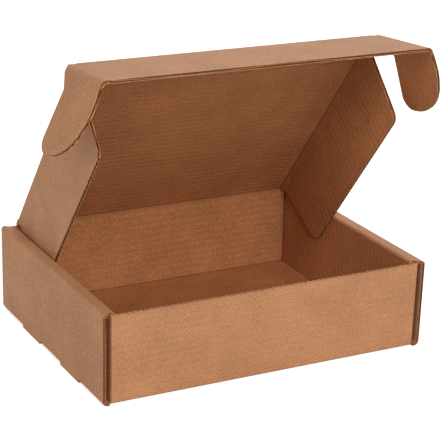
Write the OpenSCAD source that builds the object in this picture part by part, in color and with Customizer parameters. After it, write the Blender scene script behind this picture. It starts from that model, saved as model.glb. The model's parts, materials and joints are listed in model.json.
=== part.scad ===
// Corrugated mailer box with rolled double side walls, an outside tuck flap
// with two lock ears, and two dust flaps, shown with its lid half open.
// Millimetres. Z is up, the front is towards -Y, and the origin is the middle
// of the underside. The flutes of the board run along X in the flat blank.

/* [Board] */
// Thickness of the corrugated board
board_t = 3; // [2:0.1:4]
// Thickness of each liner
liner_t = 0.4; // [0.2:0.05:0.5]
// Thickness of the fluted medium between the liners
medium_t = 0.3; // [0.2:0.05:0.4]
// Distance from one flute to the next
flute_pitch = 6.4; // [4:0.1:8]

/* [Tray] */
// Clear width between the inner side panels
inside_w = 282; // [200:1:400]
// Clear depth between the front and back walls
inside_d = 222; // [180:1:320]
// Height from the floor to the top of the rolled side walls
inside_h = 77; // [60:1:120]
// How far the front wall's cut edge lies below the rolled side walls
front_drop = 1.2; // [0.6:0.1:3]
// Play of a lock ear in its side pocket
pocket_clear = 0.3; // [0.2:0.05:0.8]
// Play between a trapped corner flap and the inner side panel
layer_gap = 0.1; // [0.05:0.05:0.5]
// Outer radius of the folds round the floor
floor_fold_r = 4.5; // [3:0.1:6]
// Outer radius of the folds along the rolled top of a side wall
roll_fold_r = 2.6; // [1:0.1:3]
// Outer radius of the upright folds at the ends of the front and back walls
corner_fold_r = 2.2; // [1:0.1:3]
// Length of the corner flaps that are trapped in the side walls
corner_flap_len = 72; // [40:1:85]
// Distance by which the rolled top is cut back at its ends
roll_setback = 5.5; // [4.5:0.1:8]

/* [Floor locks] */
// Length of each locking slot in the floor
slot_len = 40; // [20:1:50]
// Distance between the middles of a side's two locking slots
slot_spacing = 87.5; // [60:0.5:120]
// Play of a locking tab in its slot
tab_clear = 0.5; // [0.2:0.1:1.5]

/* [Lid] */
// Angle by which the lid stands open
lid_open = 52; // [30:1:75]
// Gap between each folded dust flap and the inner side panel
lid_clear = 2.1; // [1.8:0.1:4]
// Gap between the closed lid and the front wall's edge
lid_rest_gap = 0.4; // [0.2:0.1:1]
// Play in each crease that folds in use
crease_play = 0.1; // [0.05:0.05:0.4]
// Depth of the tuck flap from its crease to its free edge
tuck_depth = 77; // [50:1:77]
// Gap between the front wall and the closed tuck flap
tuck_gap = 1; // [0.5:0.1:2]
// Fold of the tuck flap from flat
tuck_fold = 48; // [30:1:60]

/* [Dust flaps] */
// Depth of a dust flap from its crease to its free edge
dust_depth = 75; // [40:1:75]
// Fold of each dust flap from flat
dust_fold = 88.7; // [88.7:0.1:92]
// Furthest fold of a dust flap, which its crushed crease leaves room for
dust_fold_max = 150; // [120:1:160]
// Distance from the lid's back crease to the dust flap
dust_back_gap = 6; // [5:0.5:15]
// Distance from the lid's front crease to the dust flap
dust_front_gap = 7; // [7:0.5:20]
// How far a dust flap narrows towards its free edge at the back
dust_back_taper = 13; // [2:1:30]
// How far a dust flap narrows towards its free edge at the front
dust_front_taper = 15; // [2:1:30]
// Radius of the dust flaps' free corners
dust_corner_r = 9; // [4:1:20]

/* [Lock ears] */
// Length of a lock ear from its crease to its tip
ear_len = 70; // [55:1:80]
// Fold of each lock ear from flat
ear_fold = 68; // [50:1:68]
// Distance from the tuck flap's crease to the ear's root
ear_top_gap = 4.6; // [4.6:0.1:8]
// Distance from the tuck flap's crease to the bottom of the ear's notch
ear_notch = 14; // [14:0.5:18]
// Distance from the ear's crease to the bottom of its notch
ear_notch_end = 17; // [15:0.5:20]
// Distance from the tuck flap's crease to the ear's upper edge at its tip
ear_tip_gap = 6; // [4.6:0.1:12]
// Distance from the tuck flap's free edge to the ear's lower edge
ear_low_gap = 1.5; // [0.5:0.5:6]
// Radius of the ear's upper tip corner
ear_tip_r = 11; // [6:1:20]
// Radius of the ear's lower curve
ear_sweep_r = 58; // [20:1:58]

/* [Cut edges] */
// Pitch of the teeth along the front wall's cut edge
tooth_pitch = 4.9; // [3:0.1:8]
// Height of the teeth along the front wall's cut edge
tooth_h = 0.9; // [0.3:0.1:1.5]
// Depth to which a cut edge along the flutes lies open
edge_groove = 1.6; // [0.5:0.1:2.5]

/* [Hidden] */
$fn = 48;
eps = 0.01;
far = 1000;

// The side wall from outside: panel, ear pocket, corner flap, inner panel
pocket = board_t + pocket_clear;
cavity = pocket + board_t + layer_gap;
side_wall = 2 * board_t + cavity;
box_w = inside_w + 2 * side_wall;
box_d = inside_d + 2 * board_t;
box_h = inside_h + board_t;
front_w = box_w - 2 * (board_t + pocket);
front_h = box_h - front_drop;
inner_fold_r = max(floor_fold_r - board_t, eps);
flap_slack = 0.5;

// The creases that fold in use
half_t = board_t / 2;
crease_gap = half_t + crease_play;
hinge_z = front_h + lid_rest_gap + half_t;
hinge_y = box_d / 2 - half_t;
lid_len = hinge_y + box_d / 2 + tuck_gap + half_t;
dust_x = inside_w / 2 - lid_clear - half_t;
ear_x = box_w / 2 - board_t - pocket / 2;
lid_half_w = dust_x + crease_gap;

kraft_out = [0.74, 0.56, 0.40];
kraft_in = [0.62, 0.44, 0.30];

// Points of an arc from angle a0 to a1 about c
function arc(c, r, a0, a1, n = 10) =
    [for (i = [0:n]) let (a = a0 + (a1 - a0) * i / n) c + r * [cos(a), sin(a)]];

// Height of the medium's middle line at place y along the board
function wave(y) = (board_t / 2 - liner_t - medium_t / 2) * cos(360 * y / flute_pitch);

// Lifts a flat X-Z outline into the row of sections along Y
module along_y(length) {
    rotate([90, 0, 0])
        linear_extrude(length, center = true)
            children();
}

// Turns a flat Y-Z outline into a bar along X
module along_x(length, center = true) {
    rotate([90, 0, 90])
        linear_extrude(length, center = center)
            children();
}

// A rectangle from [x0, y0] to [x1, y1]
module span(x0, y0, x1, y1) {
    translate([x0, y0])
        square([x1 - x0, y1 - y0]);
}

// A rectangle w wide and h high whose two lower corners are folds of radius r
module folded_sheet_outline(w, h, r) {
    span(-w / 2 + r, 0, w / 2 - r, h);
    span(-w / 2, r, w / 2, h);
    for (side = [-1, 1])
        translate([side * (w / 2 - r), r])
            circle(r);
}

// One side wall's hollow between outer and inner panel, folded at the floor
module wall_hollow() {
    outer_x = box_w / 2 - board_t;
    inner_x = outer_x - cavity;
    span(inner_x, board_t, outer_x - inner_fold_r, box_h - board_t);
    span(inner_x, board_t + inner_fold_r, outer_x, box_h - board_t);
    translate([outer_x - inner_fold_r, board_t + inner_fold_r])
        circle(inner_fold_r);
}

// One side wall's solid outline, rounded along its rolled top
module wall_outline() {
    span(inside_w / 2, 0, box_w / 2, box_h - roll_fold_r);
    span(inside_w / 2 + roll_fold_r, 0, box_w / 2 - roll_fold_r, box_h);
    for (x = [inside_w / 2 + roll_fold_r, box_w / 2 - roll_fold_r])
        translate([x, box_h - roll_fold_r])
            circle(roll_fold_r);
}

// Section through the floor and both rolled side walls
module cross_section() {
    intersection() {
        folded_sheet_outline(box_w, box_h, floor_fold_r);
        difference() {
            union() {
                span(-box_w / 2, 0, box_w / 2, board_t);
                for (side = [0, 1])
                    mirror([side, 0])
                        wall_outline();
            }
            for (side = [0, 1])
                mirror([side, 0])
                    wall_hollow();
        }
    }
}

// Plan of what is cut off a rolled wall at its front end, above the floor
module roll_end_plan() {
    y0 = -box_d / 2;
    polygon([
        [box_w / 2 - board_t, y0 - 1],
        [box_w / 2 - board_t, y0],
        [box_w / 2 - board_t - cavity, y0 + roll_setback],
        [inside_w / 2 - 1, y0 + roll_setback],
        [inside_w / 2 - 1, y0 - 1],
    ]);
}

// Does its children at all four corners of the tray
module at_corners() {
    for (x_side = [0, 1], y_side = [0, 1])
        mirror([x_side, 0, 0])
            mirror([0, y_side, 0])
                children();
}

// Floor, outer side panels, rolled tops and inner side panels
module side_walls() {
    difference() {
        along_y(box_d) cross_section();
        // Room for the front and back folds, which the end walls fill again
        for (side = [-1, 1])
            translate([-front_w / 2, side > 0 ? box_d / 2 - floor_fold_r : -box_d / 2 - 1, -1])
                cube([front_w, floor_fold_r + 1, floor_fold_r + 1]);
        at_corners()
            translate([0, 0, board_t])
                linear_extrude(box_h)
                    roll_end_plan();
        // Cut edge of the outer panels, open between the liners
        at_corners()
            translate([box_w / 2 - board_t + liner_t, -box_d / 2 - 1, floor_fold_r])
                cube([board_t - 2 * liner_t, edge_groove + 1, box_h - board_t - floor_fold_r]);
    }
}

// Floor with the front and back walls, rounded at every fold
module end_walls() {
    intersection() {
        along_x(front_w)
            difference() {
                folded_sheet_outline(box_d, front_h, floor_fold_r);
                translate([0, board_t])
                    folded_sheet_outline(inside_d, box_h, inner_fold_r);
            }
        linear_extrude(box_h)
            difference() {
                square([front_w, box_d], center = true);
                for (x = [-1, 1], y = [-1, 1])
                    translate([x * (front_w / 2 - corner_fold_r), y * (box_d / 2 - corner_fold_r)])
                        difference() {
                            span(min(0, x * corner_fold_r * 2), min(0, y * corner_fold_r * 2),
                                 max(0, x * corner_fold_r * 2), max(0, y * corner_fold_r * 2));
                            circle(corner_fold_r);
                        }
            }
    }
}

// Flaps of the front and back walls, trapped inside the side walls
module corner_flaps() {
    at_corners()
        translate([front_w / 2 - board_t, -box_d / 2 + corner_fold_r, board_t + flap_slack])
            cube([board_t, corner_flap_len - corner_fold_r, box_h - 2 * board_t - 2 * flap_slack]);
}

// Does its children at each of the four floor locks
module at_locks() {
    for (x_side = [0, 1], y = [-slot_spacing / 2, slot_spacing / 2])
        mirror([x_side, 0, 0])
            translate([0, y, 0])
                children();
}

// Saw-tooth strip cut off the top of the front wall
module tooth_strip() {
    count = floor(front_w / tooth_pitch / 2) - 1;
    translate([0, -box_d / 2 + half_t, 0])
        along_y(board_t + 2 * eps)
            polygon(concat(
                [for (i = [-count * 2:count * 2])
                    [i * tooth_pitch / 2, front_h - (i % 2 == 0 ? tooth_h : 0)]],
                [[count * tooth_pitch, box_h], [-count * tooth_pitch, box_h]]));
}

// The tray: one sheet folded round the floor, with its inner panels rolled
// over the corner flaps and locked into the floor
module tray() {
    color(kraft_out)
        difference() {
            union() {
                difference() {
                    union() {
                        side_walls();
                        end_walls();
                    }
                    at_locks()
                        translate([inside_w / 2 - tab_clear, -slot_len / 2, -1])
                            cube([box_w / 2 - board_t - inside_w / 2 + tab_clear, slot_len, board_t + 1]);
                }
                corner_flaps();
                // Outer panels stay straight where the slots break the fold
                at_locks()
                    translate([box_w / 2 - board_t, -slot_len / 2, 0])
                        cube([board_t, slot_len, floor_fold_r]);
                // Locking tabs of the inner panels
                at_locks()
                    translate([inside_w / 2, -slot_len / 2 + tab_clear, flap_slack])
                        cube([board_t, slot_len - 2 * tab_clear, board_t]);
                // Back wall up to the lid's crease
                translate([-lid_half_w, box_d / 2 - board_t, front_h - eps])
                    cube([2 * lid_half_w, board_t, hinge_z - front_h + eps]);
                translate([-lid_half_w, hinge_y, hinge_z])
                    rotate([0, 90, 0])
                        cylinder(h = 2 * lid_half_w, r = half_t);
            }
            tooth_strip();
            // Cut edge of the front wall, open between the liners
            translate([-front_w / 2 + corner_fold_r, -box_d / 2 + liner_t,
                       front_h - tooth_h - edge_groove])
                cube([front_w - 2 * corner_fold_r, board_t - 2 * liner_t, box_h]);
        }
}

// Places its children in the lid's frame: crease on the X axis, lid along -Y
module in_lid() {
    translate([0, hinge_y, hinge_z])
        rotate([-lid_open, 0, 0])
            children();
}

// Places its children in the tuck flap's frame, flap along -Y
module in_tuck_flap() {
    in_lid()
        translate([0, -lid_len, 0])
            rotate([tuck_fold, 0, 0])
                children();
}

// A flat panel of board over a plan outline, centred on its middle layer
module board() {
    translate([0, 0, -half_t])
        linear_extrude(board_t)
            children();
}

// A bead of crushed board along a crease on the Y axis
module crease_bead(y0, y1) {
    translate([0, y1, 0])
        rotate([90, 0, 0])
            cylinder(h = y1 - y0, r = half_t);
}

// The open channels above and below the medium, along X from x = 0
module flute_channels(length, y0, y1) {
    steps = 8;
    step = flute_pitch / steps;
    count = ceil((y1 - y0) / flute_pitch) + 1;
    inner = board_t / 2 - liner_t;
    for (i = [-1:count], above = [0, 1]) {
        crest = y0 + (i + above / 2) * flute_pitch;
        along_x(length, center = false)
            mirror([0, above])
                polygon([for (k = [1:steps - 1])
                            [crest + k * step, wave(k * step) + medium_t / 2],
                         [crest + (steps - 1) * step, inner],
                         [crest + step, inner]]);
    }
}

// Bar along Y that a crushed crease leaves open under the board beside it
module crushed_groove(y0, y1) {
    slope = tan(90 - dust_fold_max / 2);
    translate([0, (y0 + y1) / 2, 0])
        along_y(y1 - y0)
            polygon([[0, 0], [board_t / slope, -board_t], [0, -board_t]]);
}

// The lid: flat panel with beads along the creases of its three flaps
module lid_panel() {
    back = -dust_back_gap;
    front = -lid_len + dust_front_gap;
    bead_half_w = dust_x - crease_gap / 2;
    color(kraft_in)
        in_lid() {
            difference() {
                board() {
                    span(-dust_x + crease_gap, -lid_len + crease_gap, dust_x - crease_gap, -crease_gap);
                    span(-lid_half_w, back + 2 * crease_play, lid_half_w, -crease_gap);
                    span(-lid_half_w, -lid_len + crease_gap, lid_half_w, front - 2 * crease_play);
                }
                for (side = [0, 1])
                    mirror([side, 0, 0])
                        translate([dust_x, 0, 0])
                            mirror([1, 0, 0])
                                crushed_groove(front, back);
            }
            // Each bead meets the panel through a thin crushed web
            for (side = [-1, 1]) {
                translate([side * dust_x, 0, 0])
                    crease_bead(front - crease_gap, back + crease_gap);
                translate([side * bead_half_w, (front + back) / 2, 0])
                    cube([crease_gap + eps, back - front, liner_t], center = true);
            }
            translate([-lid_half_w, -lid_len, 0])
                rotate([0, 90, 0])
                    cylinder(h = 2 * lid_half_w, r = half_t);
            translate([0, -lid_len + crease_gap / 2, 0])
                cube([2 * lid_half_w, crease_gap + eps, liner_t], center = true);
        }
}

// The tuck flap, which closes over the outside of the front wall
module tuck_flap() {
    half_w = ear_x - crease_gap;
    ear_low = tuck_depth - ear_low_gap;
    color(kraft_out)
        in_tuck_flap() {
            difference() {
                board()
                    span(-half_w, -tuck_depth, half_w, -crease_gap);
                // Free edge, open between the liners
                translate([-half_w - 1, -tuck_depth - 1, -half_t + liner_t])
                    cube([2 * half_w + 2, edge_groove + 1, board_t - 2 * liner_t]);
            }
            for (side = [-1, 1])
                translate([side * ear_x, 0, 0]) {
                    crease_bead(-ear_low, -ear_top_gap);
                    translate([-side * crease_gap / 2, -(ear_low + ear_top_gap) / 2, 0])
                        cube([crease_gap + eps, ear_low - ear_top_gap, liner_t], center = true);
                }
        }
}

// Outline of a lock ear: x from its crease, y down the tuck flap
module ear_outline() {
    low = tuck_depth - ear_low_gap;
    tip_y = -ear_tip_gap - ear_tip_r;
    sweep = min(ear_sweep_r, low + tip_y);
    polygon(concat(
        [[crease_gap, -ear_top_gap], [board_t, -ear_top_gap]],
        [[ear_notch_end, -ear_notch]],
        arc([ear_len - ear_tip_r, tip_y], ear_tip_r, 90, 0),
        arc([ear_len - sweep, -low + sweep], sweep, 0, -90, 18),
        [[crease_gap, -low]]));
}

// A lock ear, folded from the end of the tuck flap, its flutes open at the cut
module lock_ear() {
    in_tuck_flap()
        translate([ear_x, 0, 0])
            rotate([0, ear_fold, 0])
                difference() {
                    board() ear_outline();
                    translate([flute_pitch, 0, 0])
                        flute_channels(ear_len, -tuck_depth, -ear_top_gap);
                }
}

// Outline of a dust flap: x from its crease, y from the lid's back crease
module dust_outline() {
    back = -dust_back_gap;
    front = -lid_len + dust_front_gap;
    r = dust_corner_r;
    back_a = atan(dust_back_taper / dust_depth);
    front_a = atan(dust_front_taper / dust_depth);
    x = dust_depth - r;
    polygon(concat(
        [[crease_gap, back]],
        arc([x, back - dust_back_taper - r * tan(45 - back_a / 2) + dust_back_taper * r / dust_depth],
            r, 90 - back_a, 0),
        arc([x, front + dust_front_taper + r * tan(45 - front_a / 2) - dust_front_taper * r / dust_depth],
            r, 0, -90 + front_a),
        [[crease_gap, front]]));
}

// A dust flap, folded from the side of the lid, its flutes open at the cut
module dust_flap() {
    in_lid()
        translate([dust_x, 0, 0])
            rotate([0, dust_fold, 0])
                difference() {
                    board() dust_outline();
                    crushed_groove(-lid_len, 0);
                    translate([flute_pitch, 0, 0])
                        flute_channels(dust_depth, -lid_len, -dust_back_gap);
                }
}

module left_lock_ear() {
    color(kraft_out) mirror([1, 0, 0]) lock_ear();
}

module right_lock_ear() {
    color(kraft_in) lock_ear();
}

module left_dust_flap() {
    color(kraft_out) mirror([1, 0, 0]) dust_flap();
}

module right_dust_flap() {
    color(kraft_in) dust_flap();
}

tray();
lid_panel();
tuck_flap();
left_lock_ear();
right_lock_ear();
left_dust_flap();
right_dust_flap();
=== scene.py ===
"""Dresses the corrugated mailer box: kraft board, creases, cut edges and studio."""

import json
import logging
import math
from collections.abc import Callable, Sequence
from dataclasses import dataclass, field
from enum import Enum

import bmesh
import bpy
from mathutils import Matrix, Vector

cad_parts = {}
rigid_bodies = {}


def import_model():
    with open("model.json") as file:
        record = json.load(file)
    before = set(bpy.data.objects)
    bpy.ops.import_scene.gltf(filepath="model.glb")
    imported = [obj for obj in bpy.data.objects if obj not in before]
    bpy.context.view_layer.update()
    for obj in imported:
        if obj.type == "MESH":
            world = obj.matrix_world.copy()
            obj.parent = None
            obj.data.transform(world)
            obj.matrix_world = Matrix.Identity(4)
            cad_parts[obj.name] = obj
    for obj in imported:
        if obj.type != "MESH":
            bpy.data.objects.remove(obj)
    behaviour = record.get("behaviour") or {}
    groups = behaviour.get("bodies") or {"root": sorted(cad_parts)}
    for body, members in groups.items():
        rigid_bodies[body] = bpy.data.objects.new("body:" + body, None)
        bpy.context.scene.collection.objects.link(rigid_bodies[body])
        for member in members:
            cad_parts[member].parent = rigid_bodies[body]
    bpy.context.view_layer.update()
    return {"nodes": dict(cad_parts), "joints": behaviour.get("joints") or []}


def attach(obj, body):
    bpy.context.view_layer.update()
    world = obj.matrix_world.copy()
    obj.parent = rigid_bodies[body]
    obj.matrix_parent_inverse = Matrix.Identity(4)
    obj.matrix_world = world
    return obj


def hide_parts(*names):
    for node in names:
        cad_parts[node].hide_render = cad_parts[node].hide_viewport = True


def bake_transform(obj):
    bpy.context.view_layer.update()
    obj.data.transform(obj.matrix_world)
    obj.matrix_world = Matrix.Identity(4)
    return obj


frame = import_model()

LOG = logging.getLogger("mailer_box")
Piece = bpy.types.Object
Socket = bpy.types.NodeSocket
BMesh = bmesh.types.BMesh
BMFace = bmesh.types.BMFace
BMEdge = bmesh.types.BMEdge
BMVert = bmesh.types.BMVert
SHADOW_LINE = "shadow_line"
WHITE = (1.0, 1.0, 1.0, 1.0)
MM = 0.001

# The board and its cut edges
BOARD_T = 3.0 * MM
LINER_T = 0.4 * MM
MEDIUM_T = 0.3 * MM
HALF_T = BOARD_T / 2
FLUTE_PITCH = 6.4 * MM
EDGE_GROOVE = 1.6 * MM
CHAMFER = math.radians(15.0)

# The folded box, measured from the middle of its underside
INSIDE_HALF_W = 141.0 * MM
INSIDE_HALF_D = 111.0 * MM
FRONT_HALF_W = 147.1 * MM
OUTER_HALF_W = 153.4 * MM
WALL_TOP = 80.0 * MM
WALL_EDGE = 72.0 * MM
FRONT_TOP = 77.8 * MM
FRONT_RIM = 74.0 * MM
LOCK_REACH = 70.0 * MM
FOLD_R = 4.5 * MM
TUCK_DEPTH = 77.0 * MM
DUST_FOLD = math.radians(88.7)

# Limits that sort the faces and edges of a mesh
SLACK = 0.05 * MM
LINER_SLACK = 0.06 * MM
FLAT_LIMIT = math.radians(0.3)
SMOOTH_LIMIT = math.radians(20.0)
RIM_LIMIT = math.radians(60.0)


def joint(name: str) -> dict:
    """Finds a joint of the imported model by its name.

    Args:
        name: The joint's name.

    Returns:
        The joint's own entry.
    """
    return next(entry for entry in frame["joints"] if entry["name"] == name)


def joint_place(name: str) -> Vector:
    """Gives the point on a joint's axis, in metres."""
    return Vector(joint(name)["pos_m"])


LID_OPEN = math.radians(-joint("lid_crease")["range_deg"][0])
TUCK_FOLD = math.radians(joint("tuck_crease")["range_deg"][1])
EAR_FOLD = math.radians(joint("left_ear_crease")["range_deg"][1])
RIGHT = Vector((1.0, 0.0, 0.0))
BACK = Vector((0.0, 1.0, 0.0))
UP = Vector((0.0, 0.0, 1.0))
LID_DOWN = Vector((0.0, -math.cos(LID_OPEN), math.sin(LID_OPEN)))
LID_OUT = Vector((0.0, math.sin(LID_OPEN), math.cos(LID_OPEN)))
TUCK_TURN = LID_OPEN - TUCK_FOLD
TUCK_DOWN = Vector((0.0, -math.cos(TUCK_TURN), math.sin(TUCK_TURN)))
TUCK_OUT = Vector((0.0, math.sin(TUCK_TURN), math.cos(TUCK_TURN)))
LID_CREASE = joint_place("lid_crease")
TUCK_CREASE = joint_place("tuck_crease")


class Sheet(Enum):
    """The stretches of the blank whose flutes are counted from one crease."""

    TRAY = "tray"
    LID = "lid"
    TUCK = "tuck"


class Side(Enum):
    """What shows on a face of the board, in the order of a piece's materials."""

    OUTSIDE = 0
    INSIDE = 1
    CUT = 2
    # Painted shade: darker kraft for the folds and bends, where shade falls.
    FOLD_SHADE = 3
    # Painted shade: darker kraft for flute mouths and grooves, where shade falls.
    HOLLOW_SHADE = 4


@dataclass(frozen=True)
class KraftFinish:
    """The look of one kraft surface.

    Attributes:
        name: The material's name.
        paper: Colour of the paper.
        fleck: How strongly the fibres show.
        ribs: How strongly the flutes show through the liner.
        roughness: Mean roughness of the paper.
        gloss: Specular level of the paper.
        sheen: How much its fibres whiten at a grazing view.
    """

    name: str
    paper: tuple[float, float, float]
    fleck: float
    ribs: float
    roughness: float
    gloss: float
    sheen: float = 0.0


def linear(red: int, green: int, blue: int) -> tuple[float, float, float]:
    """Turns a colour as seen on screen into the linear values that shaders take.

    Args:
        red: Red from 0 to 255.
        green: Green from 0 to 255.
        blue: Blue from 0 to 255.

    Returns:
        The three linear values.
    """
    def one(value: int) -> float:
        """Turns one channel of the colour linear."""
        share = value / 255
        return share / 12.92 if share <= 0.04045 else ((share + 0.055) / 1.055) ** 2.4

    return one(red), one(green), one(blue)


FINISHES = {
    Side.OUTSIDE: KraftFinish("outside_liner", linear(178, 125, 84), 1.0, 0.9, 0.68, 0.32, 0.03),
    # The inside liner: its own kraft, drawn darker and redder as painted shade of the box's
    # inside.
    Side.INSIDE: KraftFinish("inside_liner_and_shade", linear(174, 114, 71), 1.0, 1.6, 0.75, 0.25),
    Side.CUT: KraftFinish("cut_edge", linear(184, 134, 96), 1.5, 0.0, 0.9, 0.2),
    # Painted shade for the folds and bends.
    Side.FOLD_SHADE: KraftFinish("fold_shade", linear(130, 80, 48), 1.0, 0.0, 0.75, 0.3),
    # Painted shade for the flute mouths and grooves.
    Side.HOLLOW_SHADE: KraftFinish("flute_hollow_shade", linear(126, 74, 44), 1.0, 0.0, 0.95, 0.1),
}
DARK_FIBRE = linear(120, 82, 52)
LIGHT_FIBRE = linear(228, 192, 152)
VALLEY_SHADE = linear(112, 76, 48)
SCORE_SHADE = linear(96, 58, 34)


class NodeGraph:
    """A small helper that adds and links shader nodes in one tree."""

    def __init__(self, tree: bpy.types.NodeTree) -> None:
        """Keeps the tree that the nodes go into."""
        self.tree = tree

    def add(self, kind: str, **settings: object) -> bpy.types.Node:
        """Adds a node.

        Args:
            kind: The node's type name, without its Shader Node prefix.
            **settings: Properties to set on it.

        Returns:
            The new node.
        """
        node = self.tree.nodes.new("ShaderNode" + kind)
        for name, value in settings.items():
            setattr(node, name, value)
        return node

    def feed(self, socket: Socket, value: object) -> None:
        """Sets a socket to a number or colour, or links another socket to it.

        Args:
            socket: The input socket.
            value: A number, a colour or an output socket.
        """
        if isinstance(value, Socket):
            self.tree.links.new(value, socket)
        else:
            socket.default_value = value

    def math(self, operation: str, first: object, second: object = 0.0) -> Socket:
        """Works out one sum.

        Args:
            operation: The Math node's operation.
            first: A socket or a number.
            second: A socket or a number.

        Returns:
            The result's socket.
        """
        node = self.add("Math", operation=operation)
        self.feed(node.inputs[0], first)
        self.feed(node.inputs[1], second)
        return node.outputs[0]

    def remap(self, value: object, low: float, high: float,
              to_low: float = 0.0, to_high: float = 1.0) -> Socket:
        """Maps a range of values to another smoothly and clamps it.

        Args:
            value: The socket to map.
            low: Value that becomes to_low.
            high: Value that becomes to_high.
            to_low: Lowest result.
            to_high: Highest result.

        Returns:
            The result's socket.
        """
        node = self.add("MapRange", interpolation_type="SMOOTHSTEP")
        for slot, entry in enumerate((value, low, high, to_low, to_high)):
            self.feed(node.inputs[slot], entry)
        return node.outputs[0]

    def noise(self, place: Socket, scale: float, detail: float = 2.0,
              rough: float = 0.5) -> Socket:
        """Adds a noise texture.

        Args:
            place: Coordinates to read.
            scale: Features per metre.
            detail: Octaves.
            rough: Strength of the finer octaves.

        Returns:
            The noise value's socket.
        """
        node = self.add("TexNoise")
        self.feed(node.inputs["Vector"], place)
        self.feed(node.inputs["Scale"], scale)
        self.feed(node.inputs["Detail"], detail)
        self.feed(node.inputs["Roughness"], rough)
        return node.outputs["Fac"]

    def stretch(self, place: Socket, scale: tuple[float, float, float]) -> Socket:
        """Stretches coordinates along each axis.

        Args:
            place: Coordinates to read.
            scale: Factor along X, Y and Z.

        Returns:
            The stretched coordinates' socket.
        """
        node = self.add("Mapping")
        self.feed(node.inputs["Vector"], place)
        self.feed(node.inputs["Scale"], scale)
        return node.outputs[0]

    def along(self, place: Socket, origin: Vector, direction: Vector) -> Socket:
        """Measures how far a place lies from an origin along a direction.

        Args:
            place: Coordinates to read.
            origin: Where the distance is 0.
            direction: Unit vector of the measure.

        Returns:
            The distance's socket, in metres.
        """
        node = self.add("VectorMath", operation="DOT_PRODUCT")
        self.feed(node.inputs[0], place)
        self.feed(node.inputs[1], tuple(direction))
        return self.math("SUBTRACT", node.outputs["Value"], origin.dot(direction))

    def mix(self, kind: str, share: object, first: object, second: object) -> Socket:
        """Mixes two numbers or two colours.

        Args:
            kind: FLOAT for numbers, RGBA for colours.
            share: How much of the second one.
            first: A value or its socket.
            second: A value or its socket.

        Returns:
            The mixed value's socket.
        """
        node = self.add("Mix", data_type=kind)
        low, high, end = (6, 7, 2) if kind == "RGBA" else (2, 3, 0)
        for slot, entry in ((0, share), (low, first), (high, second)):
            self.feed(node.inputs[slot], entry)
        return node.outputs[end]


def opaque(colour: Sequence[float]) -> tuple[float, float, float, float]:
    """Adds full alpha to a colour."""
    return colour[0], colour[1], colour[2], 1.0


class GroupKind(Enum):
    """The shader node groups that more than one finish uses."""

    PAPER = "kraft_paper"
    FLUTES = "flute_ribs"


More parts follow.
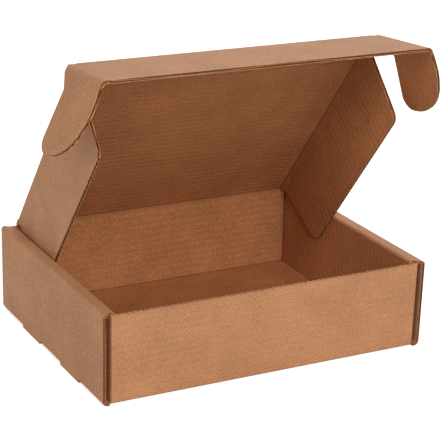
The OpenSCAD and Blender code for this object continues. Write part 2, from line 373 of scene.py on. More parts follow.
class KraftShaders:
    """Builds the shared node groups and the kraft materials."""

    def __init__(self) -> None:
        """Builds both node groups once."""
        self.groups = {
            GroupKind.PAPER: self.paper_group(),
            GroupKind.FLUTES: self.flute_group(),
        }
        self.made: dict[str, bpy.types.Material] = {}

    @staticmethod
    def new_group(kind: GroupKind, takes: dict[str, str],
                  gives: dict[str, str]) -> tuple[NodeGraph, dict, dict]:
        """Starts a node group with named sockets.

        Args:
            kind: Which group it is.
            takes: Input names and what they carry.
            gives: Output names and what they carry.

        Returns:
            The graph, the inner input sockets and the inner output sockets.
        """
        tree = bpy.data.node_groups.new(kind.value, "ShaderNodeTree")
        for way, sockets in (("INPUT", takes), ("OUTPUT", gives)):
            for name, carried in sockets.items():
                tree.interface.new_socket(name, in_out=way, socket_type="NodeSocket" + carried)
        start = tree.nodes.new("NodeGroupInput")
        end = tree.nodes.new("NodeGroupOutput")
        inner = {name: start.outputs[name] for name in takes}
        outer = {name: end.inputs[name] for name in gives}
        return NodeGraph(tree), inner, outer

    def paper_group(self) -> bpy.types.NodeTree:
        """Makes the paper's mottling, fibres and flecks.

        Returns:
            A group that takes a colour and gives it back with fibres and a height.
        """
        graph, takes, gives = self.new_group(
            GroupKind.PAPER, {"Place": "Vector", "Paper": "Color", "Fleck": "Float"},
            {"Color": "Color", "Height": "Float"})
        place = takes["Place"]
        cloud = graph.noise(place, 22.0, 3.0, 0.6)
        mottle = graph.noise(place, 850.0, 3.0, 0.75)
        lengthways = graph.noise(graph.stretch(place, (0.16, 1.0, 1.0)), 1500.0, 2.0, 0.6)
        crossways = graph.noise(graph.stretch(place, (1.0, 0.22, 0.3)), 1200.0, 2.0, 0.6)
        dark_fibre = graph.remap(lengthways, 0.60, 0.74)
        light_fibre = graph.remap(crossways, 0.60, 0.76)
        tone = graph.math("ADD", graph.remap(cloud, 0.3, 0.7, -0.12, 0.12),
                          graph.remap(mottle, 0.25, 0.75, -0.5, 0.5))
        value = graph.math("MULTIPLY_ADD", tone, graph.math("MULTIPLY", takes["Fleck"], 0.75))
        value.node.inputs[2].default_value = 1.0
        shade = graph.add("HueSaturation")
        graph.feed(shade.inputs["Value"], value)
        graph.feed(shade.inputs["Color"], takes["Paper"])
        colour = shade.outputs[0]
        for fibre, share, tint in ((dark_fibre, 0.5, DARK_FIBRE),
                                   (light_fibre, 0.22, LIGHT_FIBRE)):
            strength = graph.math("MULTIPLY", takes["Fleck"], share)
            showing = graph.math("MULTIPLY", fibre, strength)
            colour = graph.mix("RGBA", showing, colour, opaque(tint))
        graph.feed(gives["Color"], colour)
        height = graph.math("ADD", graph.math("MULTIPLY", lengthways, 0.6),
                            graph.math("MULTIPLY", mottle, 0.4))
        graph.feed(gives["Height"], height)
        return graph.tree

    def flute_group(self) -> bpy.types.NodeTree:
        """Makes the ribs that the flutes press through the liner.

        Returns:
            A group that takes a distance across the flutes and gives ribs and valleys.
        """
        graph, takes, gives = self.new_group(
            GroupKind.FLUTES, {"Place": "Vector", "Across": "Float"},
            {"Rib": "Float", "Valley": "Float"})
        drift = graph.noise(takes["Place"], 14.0, 1.0)
        shifted = graph.math("MULTIPLY_ADD", drift, 0.5 * MM)
        graph.feed(shifted.node.inputs[2], takes["Across"])
        turns = graph.math("MULTIPLY", shifted, 2 * math.pi / FLUTE_PITCH)
        wave = graph.math("COSINE", turns)
        patchy = graph.remap(graph.noise(takes["Place"], 30.0, 2.0), 0.25, 0.75, 0.35, 1.0)
        graph.feed(gives["Rib"], graph.math("MULTIPLY", wave, patchy))
        graph.feed(gives["Valley"], graph.math("MULTIPLY", graph.remap(wave, 0.0, 1.0), patchy))
        return graph.tree

    @staticmethod
    def across(graph: NodeGraph, place: Socket, normal: Socket, sheet: Sheet) -> Socket:
        """Measures the distance across the flutes from the nearest crease.

        Args:
            graph: The material's graph.
            place: Object coordinates.
            normal: Normal in the object's own frame.
            sheet: Which stretch of the blank it is.

        Returns:
            The distance's socket, in metres.
        """
        if sheet is Sheet.LID:
            return graph.along(place, LID_CREASE, LID_DOWN)
        if sheet is Sheet.TUCK:
            return graph.along(place, TUCK_CREASE, TUCK_DOWN)
        axes = graph.add("SeparateXYZ")
        graph.feed(axes.inputs[0], place)
        facing = graph.add("SeparateXYZ")
        graph.feed(facing.inputs[0], normal)
        upright = graph.math("GREATER_THAN", graph.math("ABSOLUTE", facing.outputs[1]), 0.7)
        return graph.mix("FLOAT", upright, axes.outputs[1], axes.outputs[2])

    def use(self, graph: NodeGraph, kind: GroupKind, **values: object) -> bpy.types.Node:
        """Places one of the groups in a material.

        Args:
            graph: The material's graph.
            kind: Which group.
            **values: Its inputs by name.

        Returns:
            The group node.
        """
        node = graph.add("Group", node_tree=self.groups[kind])
        for name, value in values.items():
            graph.feed(node.inputs[name], value)
        return node

    def material(self, side: Side, sheet: Sheet, creased: bool = False) -> bpy.types.Material:
        """Makes the material of one side of one stretch of board, once.

        Args:
            side: Which side of the board.
            sheet: Where the flutes are counted from.
            creased: True on a crease, where no flutes are left and a shadow line is painted.

        Returns:
            The material.
        """
        finish = FINISHES[side]
        name = f"{sheet.value}_{finish.name}" + ("_crease" if creased else "")
        if name in self.made:
            return self.made[name]
        made = bpy.data.materials.new(name)
        made.use_nodes = True
        tree = made.node_tree
        graph = NodeGraph(tree)
        shader = tree.nodes["Principled BSDF"]
        coordinates = graph.add("TexCoord")
        place = coordinates.outputs["Object"]
        paper = self.use(graph, GroupKind.PAPER, Place=place, Paper=opaque(finish.paper),
                         Fleck=finish.fleck)
        flutes = self.use(graph, GroupKind.FLUTES, Place=place,
                          Across=self.across(graph, place, coordinates.outputs["Normal"], sheet))
        ribs = 0.0 if creased else finish.ribs
        valleys = graph.math("MULTIPLY", flutes.outputs["Valley"], 0.10 * ribs)
        shaded = graph.mix("RGBA", valleys, paper.outputs["Color"], opaque(VALLEY_SHADE))
        if creased:
            # Painted shadow: the score attribute darkens a line along the fold.
            shadow_line = graph.add("Attribute", attribute_name=SHADOW_LINE)
            shaded = graph.mix("RGBA", shadow_line.outputs["Fac"], shaded, opaque(SCORE_SHADE))
        graph.feed(shader.inputs["Base Color"], shaded)
        roughness = graph.remap(paper.outputs["Height"], 0.3, 0.7,
                                finish.roughness - 0.06, finish.roughness + 0.05)
        graph.feed(shader.inputs["Roughness"], roughness)
        shader.inputs["Specular IOR Level"].default_value = finish.gloss
        shader.inputs["Sheen Weight"].default_value = finish.sheen
        height = graph.math("MULTIPLY_ADD", flutes.outputs["Rib"], -0.05 * MM * ribs)
        graph.feed(height.node.inputs[2],
                   graph.math("MULTIPLY", paper.outputs["Height"], 0.06 * MM))
        bump = graph.add("Bump")
        graph.feed(bump.inputs["Height"], height)
        bump.inputs["Distance"].default_value = 1.0
        bump.inputs["Strength"].default_value = 1.0
        graph.feed(shader.inputs["Normal"], bump.outputs[0])
        self.made[name] = made
        return made

    def dress(self, mesh: bpy.types.Mesh, sheet: Sheet, sides: Sequence[Side],
              creased: bool = False) -> None:
        """Gives a mesh the materials of the sides that it shows, in order.

        Args:
            mesh: The mesh to dress.
            sheet: Where its flutes are counted from.
            sides: One side for each material slot.
            creased: True on a crease.
        """
        for side in sides:
            mesh.materials.append(self.material(side, sheet, creased))


def add_object(name: str, data: bpy.types.ID) -> Piece:
    """Puts an object with its data in the scene.

    Args:
        name: The object's name.
        data: Its mesh, lamp or camera data.

    Returns:
        The new object.
    """
    added = bpy.data.objects.new(name, data)
    bpy.context.scene.collection.objects.link(added)
    return added


def mesh_object(name: str, bm: BMesh) -> Piece:
    """Turns a finished bmesh into an object at the origin.

    Args:
        name: The object's name.
        bm: Its mesh, which is freed.

    Returns:
        The new object.
    """
    mesh = bpy.data.meshes.new(name)
    bm.to_mesh(mesh)
    bm.free()
    return add_object(name, mesh)


def finish_piece(name: str, bm: BMesh) -> Piece:
    """Shades a piece's mesh and makes it an object.

    Args:
        name: The piece's name.
        bm: Its mesh, which is freed.

    Returns:
        The piece.
    """
    shade_smooth(bm)
    piece = mesh_object(name, bm)
    LOG.info("%s: %d faces", name, len(piece.data.polygons))
    return piece


class Route:
    """Carries the leading edges of a growing sheet along a way."""

    def __init__(self, bm: BMesh, edges: Sequence[BMEdge]) -> None:
        """Keeps the mesh and its leading edges."""
        self.bm = bm
        self.edges = list(edges)

    def ahead(self, step: Vector) -> None:
        """Carries the edges straight on.

        Args:
            step: How far, and which way.
        """
        grown = bmesh.ops.extrude_edge_only(self.bm, edges=self.edges)["geom"]
        verts = [item for item in grown if isinstance(item, BMVert)]
        bmesh.ops.translate(self.bm, verts=verts, vec=step)
        self.edges = [item for item in grown
                      if isinstance(item, BMEdge) and all(vert in verts for vert in item.verts)]

    def round(self, centre: Vector, axis: Vector, angle: float, steps: int = 8) -> None:
        """Carries the edges round a bend.

        Args:
            centre: Middle of the bend.
            axis: Way that the bend turns about.
            angle: How far it turns.
            steps: Facets of the bend.
        """
        spun = bmesh.ops.spin(self.bm, geom=self.edges, cent=centre, axis=axis, angle=angle,
                              steps=steps, use_merge=False, use_duplicate=False)
        self.edges = [item for item in spun["geom_last"] if isinstance(item, BMEdge)]


def shade_smooth(bm: BMesh) -> None:
    """Shades a mesh smooth, with its corners kept sharp.

    Args:
        bm: The mesh.
    """
    for facet in bm.faces:
        facet.smooth = True
    for edge in bm.edges:
        edge.smooth = not edge.is_manifold or edge.calc_face_angle(0.0) < SMOOTH_LIMIT


@dataclass
class Panel:
    """One stretch of board, dressed as the solid that carries it.

    Attributes:
        node: The solid's name, which is also the body it rides on.
        sheet: Where its flutes are counted from.
        face: Normal of its outer face, or None on the tray.
        crease: A point on its middle layer.
        flute: Way that its open flutes run, or None where none are open.
        trims: Places and ways past which it is cut off, for a bend of its own.
        rim: Width of the softened rims.
    """

    node: str
    sheet: Sheet
    face: Vector | None = None
    crease: Vector | None = None
    flute: Vector | None = None
    trims: Sequence[tuple[Vector, Vector]] = ()
    rim: float = 0.12 * MM

    def side(self, facet: BMFace) -> Side:
        """Tells which side of the board a face shows.

        Args:
            facet: The face.

        Returns:
            The side.
        """
        if self.face is None:
            return self.tray_side(facet.calc_center_median(), facet.normal)
        height = (facet.calc_center_median() - self.crease).dot(self.face)
        if abs(height) < HALF_T - LINER_SLACK:
            inner = abs(height) < HALF_T - LINER_T + 0.02 * MM
            # Flute mouths and open-edge grooves take the painted shade of the hollow finish.
            return Side.HOLLOW_SHADE if inner and self.in_hollow(facet) else Side.CUT
        return Side.OUTSIDE if height > 0 else Side.INSIDE

    def in_hollow(self, facet: BMFace) -> bool:
        """Tells whether a face lies in a flute's mouth or in the groove of an open edge.

        Args:
            facet: A face of the board's edge.

        Returns:
            True where it does.
        """
        if self.flute is not None:
            return abs(facet.normal.dot(self.flute)) < 0.05
        from_edge = TUCK_DEPTH - (facet.calc_center_median() - self.crease).dot(TUCK_DOWN)
        return self.node == "tuck_flap" and from_edge < 7 * MM and (
            from_edge > 0.1 * MM or abs(facet.normal.dot(self.face)) > 0.7)

    @staticmethod
    def tray_side(centre: Vector, normal: Vector) -> Side:
        """Tells which side of the board a face of the tray shows.

        Args:
            centre: The face's middle.
            normal: Its normal.

        Returns:
            The side.
        """
        across, along, up = abs(centre.x), abs(centre.y), centre.z
        sideways, lengthways, upward = (abs(share) for share in normal)
        depth = along - INSIDE_HALF_D
        # Inside the tray, with the bends round its floor in painted shade
        within = across < INSIDE_HALF_W + SLACK and depth < SLACK
        if within and up > BOARD_T - SLACK:
            bend = up < BOARD_T + 2 * MM and 0.1 < normal.z < 0.95
            return Side.FOLD_SHADE if bend else Side.INSIDE
        # The front wall's cut rim, and its groove in painted shade
        front = centre.y < 0 and depth > SLACK
        if front and up > FRONT_RIM and across < FRONT_HALF_W \
                and (normal.z > 0.2 or depth < BOARD_T - SLACK):
            between = LINER_T - SLACK < depth < BOARD_T - LINER_T + SLACK
            return Side.HOLLOW_SHADE if between and up < FRONT_TOP + 0.1 * MM else Side.CUT
        # The folds at the side walls' ends and beside the corner flaps, in painted shade
        wall_end = across > FRONT_HALF_W + SLACK and depth > -4 * MM
        if wall_end and upward < 0.4 and lengthways > 0.4:
            return Side.FOLD_SHADE
        corner = depth > 0 and INSIDE_HALF_W < across < FRONT_HALF_W + SLACK
        if corner and sideways > 0.35 and up < WALL_TOP - MM:
            return Side.FOLD_SHADE
        # The groove in the side walls' ends, in painted shade
        groove = OUTER_HALF_W - BOARD_T + SLACK < across < OUTER_HALF_W - SLACK
        if groove and SLACK < depth < BOARD_T - SLACK:
            return Side.HOLLOW_SHADE
        # The edges of the floor slots and their tabs
        lock = INSIDE_HALF_W - MM < across < OUTER_HALF_W - BOARD_T + SLACK
        if lock and along < LOCK_REACH and up < BOARD_T - SLACK and upward < 0.5:
            return Side.CUT
        return Side.OUTSIDE

    def soften(self, bm: BMesh) -> None:
        """Rounds the sharp rims of the liner faces a little.

        Args:
            bm: The panel's mesh.
        """
        def is_rim(edge: BMEdge) -> bool:
            """Tells whether an edge is an outward corner between a liner and its cut.

            Args:
                edge: The edge.

            Returns:
                True where it is.
            """
            if not edge.is_manifold or edge.calc_face_angle(0.0) < RIM_LIMIT:
                return False
            if any(all(abs((vert.co - place).dot(way)) < 0.01 * MM for vert in edge.verts)
                   for place, way in self.trims):
                return False
            sides = {self.side(facet) for facet in edge.link_faces}
            faced = Side.CUT in sides and bool(sides & {Side.OUTSIDE, Side.INSIDE})
            return faced and edge.is_convex

        rims = [edge for edge in bm.edges if is_rim(edge)]
        bmesh.ops.bevel(bm, geom=rims, offset=self.rim, offset_type="OFFSET", affect="EDGES",
                        segments=2, profile=0.5, material=-1, clamp_overlap=True)

    def shape(self) -> BMesh:
        """Copies the solid, trims it and softens its rims.

        Returns:
            The panel's mesh.
        """
        bm = bmesh.new()
        bm.from_mesh(frame["nodes"][self.node].data)
        bmesh.ops.remove_doubles(bm, verts=bm.verts, dist=0.002 * MM)
        for place, way in self.trims:
            bmesh.ops.bisect_plane(bm, geom=[*bm.verts, *bm.edges, *bm.faces], dist=0.001 * MM,
                                   plane_co=place, plane_no=way, clear_outer=True)
            rim = [edge for edge in bm.edges if edge.is_boundary]
            bmesh.ops.triangle_fill(bm, edges=rim, use_beauty=True, normal=way)
            bmesh.ops.recalc_face_normals(bm, faces=bm.faces[:])
        bmesh.ops.dissolve_limit(bm, angle_limit=FLAT_LIMIT, verts=bm.verts, edges=bm.edges)
        for facet in bm.faces:
            facet.material_index = self.side(facet).value
        self.soften(bm)
        return bm

    def attach(self, piece: Piece) -> None:
        """Lets the piece follow its body."""
        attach(piece, self.node)

    def build(self, shaders: KraftShaders) -> Piece:
        """Makes the panel and dresses it.

        Args:
            shaders: Source of the materials.

        Returns:
            The finished piece.
        """
        piece = finish_piece(self.node + "_board", self.shape())
        shaders.dress(piece.data, self.sheet, list(Side))
        self.attach(piece)
        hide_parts(self.node)
        return piece


@dataclass
class LockEar(Panel):
    """A lock ear, with the soft bend that joins it to the tuck flap.

    Attributes:
        into_tuck: Direction from the crease into the tuck flap.
        bend: Radius of the bend's middle layer.
        run: Straight stretch at each end of the bend.
        root: Where the bend starts and ends along the tuck flap's end.
        steps: Facets of the bend.
        mouth: Depth of the hollow in the bend's cut edges.
    """

    into_tuck: Vector = field(default_factory=RIGHT.copy)
    bend: float = 5.0 * MM
    run: float = 0.8 * MM
    root: tuple[float, float] = (0.8 * MM, TUCK_DEPTH - 0.4 * MM)
    steps: int = 14
    mouth: float = 1.2 * MM

    def __post_init__(self) -> None:
        """Cuts the ear's own board off where the bend ends."""
        self.trims = [self.trim(self.into_ear)]

    @property
    def tangent(self) -> float:
        """How far from the crease the bend starts."""
        return self.bend * math.tan(EAR_FOLD / 2)

    @property
    def into_ear(self) -> Vector:
        """Direction from the crease into the ear."""
        return -self.into_tuck * math.cos(EAR_FOLD) - TUCK_OUT * math.sin(EAR_FOLD)

    def trim(self, way: Vector) -> tuple[Vector, Vector]:
        """Gives the plane at which a board stops for the bend, on one side of the crease."""
        return self.crease + way * (self.tangent + self.run), -way

    def add_bend(self, bm: BMesh) -> None:
        """Adds the bend between the tuck flap and the ear.

        Args:
            bm: The ear's trimmed mesh.
        """
        begin = self.into_tuck * self.tangent
        width = self.into_ear * self.tangent - begin
        near = self.tangent + self.run + SLACK
        top = self.crease + TUCK_DOWN * (TUCK_CREASE - self.crease).dot(TUCK_DOWN)
        root = [(vert.co - top).dot(TUCK_DOWN) for vert in bm.verts
                if (vert.co - self.crease).dot(self.into_ear) < near]
        start = top + self.into_tuck * (self.tangent + self.run)
        low, high = min(root), max(root)
        corners = ((low, HALF_T), (high, HALF_T), (high, -HALF_T), (low, -HALF_T))
        loop = [bm.verts.new(start + TUCK_DOWN * place + TUCK_OUT * height)
                for place, height in corners]
        first = [bm.edges.new((loop[index - 1], loop[index])) for index in range(4)]
        centre = self.crease + begin - TUCK_OUT * self.bend
        route = Route(bm, first)
        old = set(bm.faces)
        route.ahead(-self.into_tuck * self.run)
        route.round(centre, self.into_tuck.cross(TUCK_OUT), EAR_FOLD, self.steps)
        route.ahead(self.into_ear * self.run)
        for ends in (first, route.edges):
            bmesh.ops.contextual_create(bm, geom=ends)
        strip = [facet for facet in bm.faces if facet not in old]
        bmesh.ops.recalc_face_normals(bm, faces=strip)
        for vert in {vert for facet in strip for vert in facet.verts}:
            offset = vert.co - top
            left = 1.0 - min(1.0, max(0.0, (offset - begin).dot(width) / width.length_squared))
            lower = offset.dot(TUCK_DOWN) < (low + high) / 2
            grow = self.root[0] - low if lower else self.root[1] - high
            vert.co += TUCK_DOWN * grow * left ** 1.5
        bm.normal_update()
        for facet in strip:
            if abs(facet.normal.dot(TUCK_DOWN)) > 0.5:
                facet.material_index = Side.CUT.value
            elif (facet.calc_center_median() - centre).dot(facet.normal) > 0:
                facet.material_index = Side.OUTSIDE.value
            else:
                facet.material_index = Side.INSIDE.value
        # The bend's cut ends are pushed in as flute mouths and painted with shade.
        for sign in (-1.0, 1.0):
            ends = [facet for facet in strip if facet.normal.dot(TUCK_DOWN) * sign > 0.5]
            bmesh.ops.inset_region(bm, faces=ends, thickness=LINER_T + 0.1 * MM, depth=0.0,
                                   use_even_offset=True, use_boundary=True)
            bmesh.ops.translate(bm, verts=list({vert for facet in ends for vert in facet.verts}),
                                vec=-TUCK_DOWN * sign * self.mouth)
            for facet in ends:
                facet.material_index = Side.HOLLOW_SHADE.value

    def shape(self) -> BMesh:
        """Shapes the ear's own board and adds its bend.

        Returns:
            The ear's mesh.
        """
        bm = super().shape()
        self.add_bend(bm)
        return bm

    def attach(self, piece: Piece) -> None:
        """Bakes the piece's transform into its mesh; the piece follows neither body.

        Args:
            piece: The ear's piece.
        """
        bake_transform(piece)


@dataclass
class Crease:
    """The crushed line between two stretches of board, with its own skins of liner.

    Attributes:
        parent: Body on the fixed side of the crease.
        child: Body on the moving side.
        sheet: Where the flutes beside it are counted from.
        origin: A point on the crease's middle line.
        along: Direction of the crease.
        into_parent: Direction from the crease into the parent's board.
        outwards: Normal of the parent's outer face.
        fold: How far the child is folded from flat.
        chamfered: True where the crease lies in a crushed groove.
        reach: How far each skin runs onto the boards.
        lift: How far a skin stands off the board.
        skin: Thickness of a skin.
        inset: How far a skin stops short of the crease's ends.
        near: How near the crease's line the boards' own creases lie.
        shadow_line: Half width of the painted shadow line along the fold.
        fillet: Radius of the inner skin's bend.
        run_on: How far the skins run on past the boards' crease at its lower end.
    """

    parent: str
    child: str
    sheet: Sheet
    origin: Vector
    along: Vector
    into_parent: Vector
    outwards: Vector
    fold: float
    chamfered: bool = False
    reach: float = 4.0 * MM
    lift: float = 0.04 * MM
    skin: float = 0.3 * MM
    inset: float = 0.05 * MM
    near: float = 2.3 * MM
    shadow_line: float = 0.8 * MM
    fillet: float = 0.8 * MM
    run_on: float = 0.0

    @property
    def into_child(self) -> Vector:
        """Direction from the crease into the child's board."""
        return -self.into_parent * math.cos(self.fold) - self.outwards * math.sin(self.fold)

    @property
    def child_outwards(self) -> Vector:
        """Normal of the child's outer face."""
        return self.outwards * math.cos(self.fold) - self.into_parent * math.sin(self.fold)

    def ends(self) -> tuple[float, float]:
        """Measures where both boards' creases run side by side.

        Returns:
            The lowest and the highest place along the crease.
        """
        lows, highs = [], []
        for node in (self.parent, self.child):
            places = []
            for vertex in frame["nodes"][node].data.vertices:
                offset = vertex.co - self.origin
                place = offset.dot(self.along)
                if (offset - self.along * place).length < self.near:
                    places.append(place)
            lows.append(min(places))
            highs.append(max(places))
        return max(lows) - self.run_on, min(highs)

    def run_skin(self, name: str, way: Callable[[Route], None],
                 start: Vector, depth: Vector, side: Side, shaders: KraftShaders,
                 bend: tuple[Vector, Vector]) -> Piece:
        """Runs a thin skin of liner over the crease.

        Args:
            name: The piece's name.
            way: Carries the skin's first edge round the crease.
            start: Where its section starts, at the crease's origin.
            depth: Its thickness as a vector into the board.
            side: Which side of the board it shows.
            shaders: Source of the materials.
            bend: Where the fold starts and where it ends, with the painted shadow line centred
                between.

        Returns:
            The finished skin.
        """
        low, high = self.ends()
        bm = bmesh.new()
        # The score layer paints a shadow line along the fold, darkest on the inside of a crushed
        # groove.
        shadow_line = bm.verts.layers.float.new(SHADOW_LINE)
        shift = self.along * (low + self.inset)
        first = [bm.verts.new(start + shift), bm.verts.new(start + depth + shift)]
        way(Route(bm, [bm.edges.new(first)]))
        width = bend[1] - bend[0]
        line = self.shadow_line / width.length
        strength = 0.9 if self.chamfered and side is Side.INSIDE else 0.5
        for vert in bm.verts:
            place = (vert.co - bend[0]).dot(width) / width.length_squared
            vert[shadow_line] = strength * max(0.0, 1.0 - abs(place - 0.5) / line)
        wall = bmesh.ops.extrude_face_region(bm, geom=bm.faces[:], use_keep_orig=True)
        moved = [item for item in wall["geom"] if isinstance(item, BMVert)]
        bmesh.ops.translate(bm, verts=moved, vec=self.along * (high - low - 2 * self.inset))
        bmesh.ops.recalc_face_normals(bm, faces=bm.faces[:])
        piece = finish_piece(name, bm)
        shaders.dress(piece.data, self.sheet, [side], creased=True)
        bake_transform(piece)
        return piece

    def outer_skin(self, shaders: KraftShaders) -> Piece:
        """Makes the skin over the outside of the fold.

        Args:
            shaders: Source of the materials.

        Returns:
            The finished skin.
        """
        height = HALF_T + self.lift
        foot = self.origin + self.outwards * height

        def way(route: Route) -> None:
            """Runs over the outside of the fold.

            Args:
                route: The skin's leading edge.
            """
            route.ahead(-self.into_parent * self.reach)
            route.round(self.origin, self.into_parent.cross(self.outwards), self.fold)
            route.ahead(self.into_child * self.reach)

        return self.run_skin(f"{self.child}_crease_outside", way,
                             foot + self.into_parent * self.reach, -self.outwards * self.skin,
                             Side.OUTSIDE, shaders,
                             (foot, self.origin + self.child_outwards * height))

    def inner_skin(self, shaders: KraftShaders) -> Piece:
        """Makes the skin in the hollow of the fold.

        Over a crushed groove it runs on past the groove's lips.

        Args:
            shaders: Source of the materials.

        Returns:
            The finished skin.
        """
        height = HALF_T + self.lift
        fillet = self.fillet
        tangent = (height + fillet) * math.tan(self.fold / 2)
        centre = self.origin + self.into_parent * tangent - self.outwards * (height + fillet)
        lip = height / math.tan(CHAMFER)
        reach = lip + 1.5 * MM if self.chamfered else self.reach
        steps = [reach - lip] + [(lip - tangent) / 3] * 3 if self.chamfered else [reach - tangent]
        bend = (centre + self.outwards * fillet, centre + self.child_outwards * fillet)
        if self.chamfered:
            bend = (self.origin + self.into_parent * lip - self.outwards * height,
                    self.origin + self.into_child * lip - self.child_outwards * height)

        def way(route: Route) -> None:
            """Runs through the hollow of the fold.

            Args:
                route: The skin's leading edge.
            """
            for step in steps:
                route.ahead(-self.into_parent * step)
            route.round(centre, self.into_parent.cross(self.outwards), self.fold)
            for step in reversed(steps):
                route.ahead(self.into_child * step)

        return self.run_skin(f"{self.child}_crease_inside", way,
                             self.origin + self.into_parent * reach - self.outwards * height,
                             self.outwards * self.skin, Side.INSIDE, shaders, bend)

    def build(self, shaders: KraftShaders) -> list[Piece]:
        """Makes both skins.

        Args:
            shaders: Source of the materials.

        Returns:
            The finished skins.
        """
        return [self.outer_skin(shaders), self.inner_skin(shaders)]


@dataclass
class OpenEdge:
    """The wavy medium between the liners of an edge that is cut along the flutes.

    Attributes:
        name: What the edge belongs to.
        body: The body it rides on.
        sheet: Where the flutes are counted from.
        start: One end of the edge's middle line.
        end: Its other end.
        inwards: Direction into the board.
        across: Direction through the board's thickness.
        phase: Where along a flute the cut starts.
        drift: Flutes that the cut crosses along its length.
    """

    name: str
    body: str
    sheet: Sheet
    start: Vector
    end: Vector
    inwards: Vector
    across: Vector
    phase: float
    drift: float

    def sway(self, share: float) -> float:
        """Gives the medium's height in the board.

        Args:
            share: Place along the edge, from 0 to 1.

        Returns:
            The height over the board's middle layer.
        """
        swing = HALF_T - LINER_T - MEDIUM_T / 2 - 0.05 * MM
        wave = math.cos(self.phase + 2 * math.pi * self.drift * share)
        ripple = 0.12 * math.sin(41.0 * share + self.phase) + 0.06 * math.sin(97.0 * share)
        return swing * max(-1.0, min(1.0, 0.85 * wave + ripple))

    def build(self, shaders: KraftShaders) -> Piece:
        """Draws the medium along the edge.

        Args:
            shaders: Source of the materials.

        Returns:
            The finished strip.
        """
        run = self.end - self.start
        steps = max(12, round(run.length / (3 * MM)))
        bm = bmesh.new()
        low = [self.start + self.across * self.sway(0.0) + self.inwards * depth
               for depth in (0.1 * MM, EDGE_GROOVE + 0.05 * MM)]
        verts = [bm.verts.new(place) for place in low]
        route = Route(bm, [bm.edges.new(verts)])
        for index in range(steps):
            shift = self.sway((index + 1) / steps) - self.sway(index / steps)
            route.ahead(run / steps + self.across * shift)
        bmesh.ops.recalc_face_normals(bm, faces=bm.faces[:])
        bmesh.ops.solidify(bm, geom=bm.faces[:], thickness=MEDIUM_T)
        bmesh.ops.recalc_face_normals(bm, faces=bm.faces[:])
        piece = finish_piece(f"{self.name}_medium", bm)
        shaders.dress(piece.data, self.sheet, [Side.CUT])
        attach(piece, self.body)
        return piece


@dataclass
class PhotoCamera:
    """The photograph's camera, fitted to the tray's corners.

    Attributes:
        azimuth: Turn round the box from straight ahead, in degrees.
        elevation: Height above the horizon, in degrees.
        roll: Tilt of the picture, in degrees.
        distance: From the point that it aims at, in metres.
        aim: Height of that point over the middle of the box's underside.
        focal: Focal length in picture widths.
        shift_x: Sideways shift of the picture.
        shift_y: Upward shift of the picture.
    """

    azimuth: float = -27.9
    elevation: float = 21.8
    roll: float = 1.64
    distance: float = 1.4298
    aim: float = 40.1 * MM
    focal: float = 3.612
    shift_x: float = 0.0272
    shift_y: float = 0.1476

    def build(self) -> Piece:
        """Makes the camera and sets it on the scene.

        Returns:
            The camera.
        """
        azimuth, elevation = math.radians(self.azimuth), math.radians(self.elevation)
        back = Vector((math.sin(azimuth) * math.cos(elevation),
                       -math.cos(azimuth) * math.cos(elevation), math.sin(elevation)))
        data = bpy.data.cameras.new("photo_camera")
        data.sensor_width = 36.0
        data.lens = self.focal * data.sensor_width
        data.shift_x = self.shift_x
        data.shift_y = self.shift_y
        data.clip_start, data.clip_end = 0.05, 50.0
        camera = add_object("photo_camera", data)
        camera.location = UP * self.aim + back * self.distance
        look = (-back).to_track_quat("-Z", "Y").to_matrix()
        turn = Matrix.Rotation(math.radians(self.roll), 3, back)
        camera.rotation_euler = (turn @ look).to_euler()
        bpy.context.scene.camera = camera
        return camera


def seen_rays(graph: NodeGraph) -> Socket:
    """Tells rays that the camera or a shiny surface sees from those that light things.

    Args:
        graph: The graph that asks.

    Returns:
        A socket that is 1 for seen rays.
    """
    rays = graph.add("LightPath")
    shiny = graph.math("MAXIMUM", rays.outputs["Is Glossy Ray"],
                       rays.outputs["Is Transmission Ray"])
    return graph.math("MAXIMUM", rays.outputs["Is Camera Ray"], shiny)


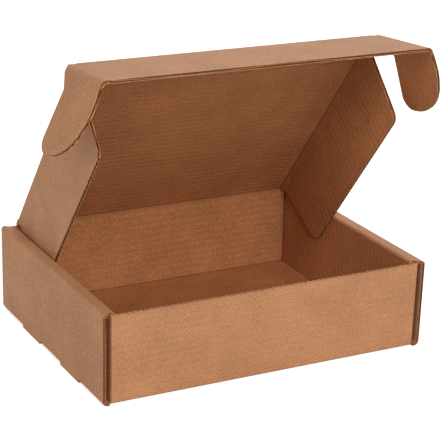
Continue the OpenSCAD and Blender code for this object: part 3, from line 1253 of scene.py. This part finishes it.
@dataclass
class Studio:
    """A pale floor, a white world and soft lamps.

    Attributes:
        floor_size: Side of the floor in metres.
        floor_paint: How pale the floor is.
        world_light: Strength of the even light.
        floor_lift: How much whiter the floor looks than it is lit.
        lamp_aim: Height of the point that the lamps aim at, in metres.
    """

    floor_size: float = 12.0
    floor_paint: float = 0.85
    world_light: float = 0.4
    floor_lift: float = 0.6
    lamp_aim: float = 0.1

    def floor(self) -> Piece:
        """Lays a white floor under the box.

        Returns:
            The floor.
        """
        bm = bmesh.new()
        bmesh.ops.create_grid(bm, x_segments=1, y_segments=1, size=self.floor_size / 2)
        floor = mesh_object("studio_floor", bm)
        material = bpy.data.materials.new("studio_floor")
        material.use_nodes = True
        shader = material.node_tree.nodes["Principled BSDF"]
        for name, value in (("Base Color", opaque([self.floor_paint] * 3)), ("Roughness", 1.0),
                            ("Specular IOR Level", 0.0), ("Emission Color", WHITE)):
            shader.inputs[name].default_value = value
        graph = NodeGraph(material.node_tree)
        graph.feed(shader.inputs["Emission Strength"],
                   graph.math("MULTIPLY", seen_rays(graph), self.floor_lift))
        floor.data.materials.append(material)
        return floor

    def world(self) -> None:
        """Sets an even soft light, with plain white behind the box."""
        world = bpy.data.worlds.new("studio_world")
        world.use_nodes = True
        bpy.context.scene.world = world
        graph = NodeGraph(world.node_tree)
        background = world.node_tree.nodes["Background"]
        background.inputs["Color"].default_value = WHITE
        graph.feed(background.inputs["Strength"],
                   graph.mix("FLOAT", seen_rays(graph), self.world_light, 1.0))

    def lamp(self, name: str, place: tuple[float, float, float], size: float,
             power: float) -> Piece:
        """Hangs one square soft lamp that points at the box.

        Args:
            name: The lamp's name.
            place: Where it hangs.
            size: Its side in metres.
            power: Its power in watts.

        Returns:
            The lamp.
        """
        data = bpy.data.lights.new(name, "AREA")
        data.shape = "SQUARE"
        data.size = size
        data.energy = power
        lamp = add_object(name, data)
        lamp.location = place
        aim = UP * self.lamp_aim - Vector(place)
        lamp.rotation_euler = aim.to_track_quat("-Z", "Y").to_euler()
        return lamp

    def build(self) -> None:
        """Sets up floor, world and lamps."""
        self.floor()
        self.world()
        self.lamp("key_lamp", (-0.4, -2.9, 1.9), 1.6, 71.0)
        self.lamp("back_lamp", (1.8, 1.5, 2.2), 1.2, 28.0)
        self.lamp("side_lamp", (-3.0, -0.9, 1.3), 0.5, 14.5)
        bpy.context.scene.view_settings.view_transform = "Standard"


def panels() -> list[Panel]:
    """Lists the box's stretches of board.

    Returns:
        The panels, with the ears before the tuck flap that they meet.
    """
    found = [Panel("tray", Sheet.TRAY), Panel("lid_panel", Sheet.LID, LID_OUT, LID_CREASE)]
    ears = []
    for side, way, sign in (("left", RIGHT, 1.0), ("right", -RIGHT, -1.0)):
        turn = Matrix.Rotation(sign * DUST_FOLD, 3, LID_DOWN)
        found.append(Panel(f"{side}_dust_flap", Sheet.LID, turn @ LID_OUT,
                           joint_place(f"{side}_dust_crease"), turn @ RIGHT))
        turn = Matrix.Rotation(sign * EAR_FOLD, 3, TUCK_DOWN)
        ears.append(LockEar(f"{side}_lock_ear", Sheet.TUCK, turn @ TUCK_OUT,
                            joint_place(f"{side}_ear_crease"), turn @ RIGHT, rim=0.2 * MM,
                            into_tuck=way))
    trims = [ear.trim(ear.into_tuck) for ear in ears]
    return [*found, *ears, Panel("tuck_flap", Sheet.TUCK, TUCK_OUT, TUCK_CREASE, trims=trims)]


def creases() -> list[Crease]:
    """Lists the crushed creases that fold in use, apart from the ears' soft bends.

    Returns:
        The creases.
    """
    found = [
        Crease("tray", "lid_panel", Sheet.LID, LID_CREASE, RIGHT, -UP, BACK,
               math.pi / 2 - LID_OPEN),
        Crease("lid_panel", "tuck_flap", Sheet.LID, TUCK_CREASE, RIGHT, -LID_DOWN, LID_OUT,
               TUCK_FOLD),
    ]
    for side, way in (("left", RIGHT), ("right", -RIGHT)):
        found.append(Crease("lid_panel", f"{side}_dust_flap", Sheet.LID,
                            joint_place(f"{side}_dust_crease"), LID_DOWN, way, LID_OUT, DUST_FOLD,
                            chamfered=True, run_on=3.5 * MM))
    return found


def open_edges() -> list[OpenEdge]:
    """Lists the edges that are cut along the flutes.

    Returns:
        The edges.
    """
    wall_x = OUTER_HALF_W - HALF_T
    wall_y = INSIDE_HALF_D + BOARD_T
    found = []
    for side, sign, phase in (("left", -1.0, 0.4), ("right", 1.0, 2.2)):
        for end, way in (("front", -1.0), ("back", 1.0)):
            foot = Vector((sign * wall_x, way * wall_y, FOLD_R + 0.2 * MM))
            found.append(OpenEdge(f"{side}_{end}_edge", "tray", Sheet.TRAY, foot,
                                  foot + UP * WALL_EDGE, -BACK * way, RIGHT, phase + way, 0.35))
    half_w = FRONT_HALF_W - 2.4 * MM
    front = Vector((0.0, -INSIDE_HALF_D - HALF_T, FRONT_TOP))
    found.append(OpenEdge("front_wall", "tray", Sheet.TRAY, front - RIGHT * half_w,
                          front + RIGHT * half_w, -UP, BACK, 1.2, 1.4))
    tuck = TUCK_CREASE + TUCK_DOWN * TUCK_DEPTH
    half_w = FRONT_HALF_W - 4.0 * MM
    found.append(OpenEdge("tuck_flap", "tuck_flap", Sheet.TUCK, tuck - RIGHT * half_w,
                          tuck + RIGHT * half_w, -TUCK_DOWN, TUCK_OUT, 0.6, 1.7))
    return found


def main() -> None:
    """Builds the camera, the studio and every piece."""
    logging.basicConfig(level=logging.INFO, format="%(name)s: %(message)s")
    PhotoCamera().build()
    Studio().build()
    shaders = KraftShaders()
    for piece in [*panels(), *creases(), *open_edges()]:
        piece.build(shaders)


if __name__ == "__main__":
    main()
